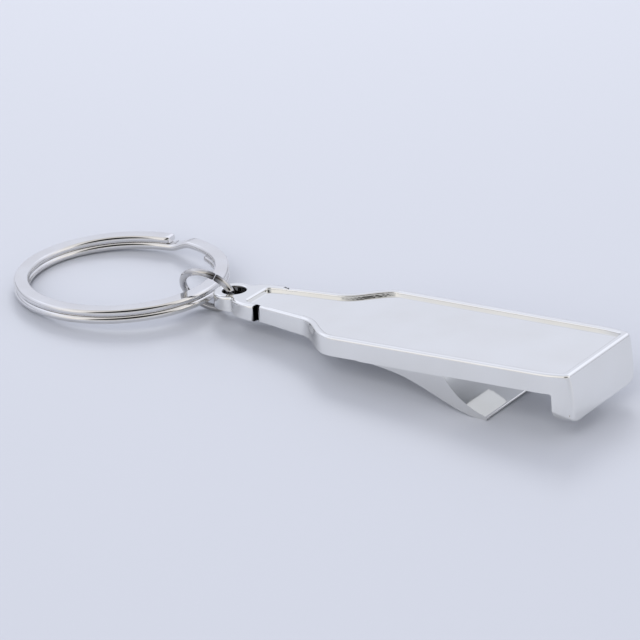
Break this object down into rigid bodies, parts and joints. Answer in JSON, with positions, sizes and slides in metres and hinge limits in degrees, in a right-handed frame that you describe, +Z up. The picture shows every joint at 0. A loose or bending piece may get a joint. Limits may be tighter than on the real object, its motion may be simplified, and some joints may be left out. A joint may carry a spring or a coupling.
{
  "type": "keychain bottle opener",
  "caption": "Flat bottle-shaped cap opener with a claw and lip under it, linked by a small wire ring to a flat split ring for keys.",
  "frame": {"origin": "on the table, under the middle of the whole object's length and width", "axes": "+X along the opener from the key ring to the base of the bottle shape, +Z up off the table"},
  "size_m": [0.0914, 0.03, 0.0093],
  "materials": {
    "plated_body": "polished",
    "plated_wire": "polished",
    "plated_band": "polished"
  },
  "bodies": {
    "opener": {"opener_body": "plated_body"},
    "jump_link": {"jump_ring": "plated_wire"},
    "key_ring": {"split_ring": "plated_band"}
  },
  "joints": [
    {"name": "jump_ring_swing", "type": "hinge", "parent": "opener", "child": "jump_link", "pos_m": [-0.01508, -0.00028, 0.00361], "axis": [-0.1259, 0.8739, 0.4695], "range_deg": [-15, 45]},
    {"name": "split_ring_swing", "type": "hinge", "parent": "jump_link", "child": "key_ring", "pos_m": [-0.01668, 0, 0.0029], "axis": [0, 1, 0], "range_deg": [-90, 120]}
  ]
}
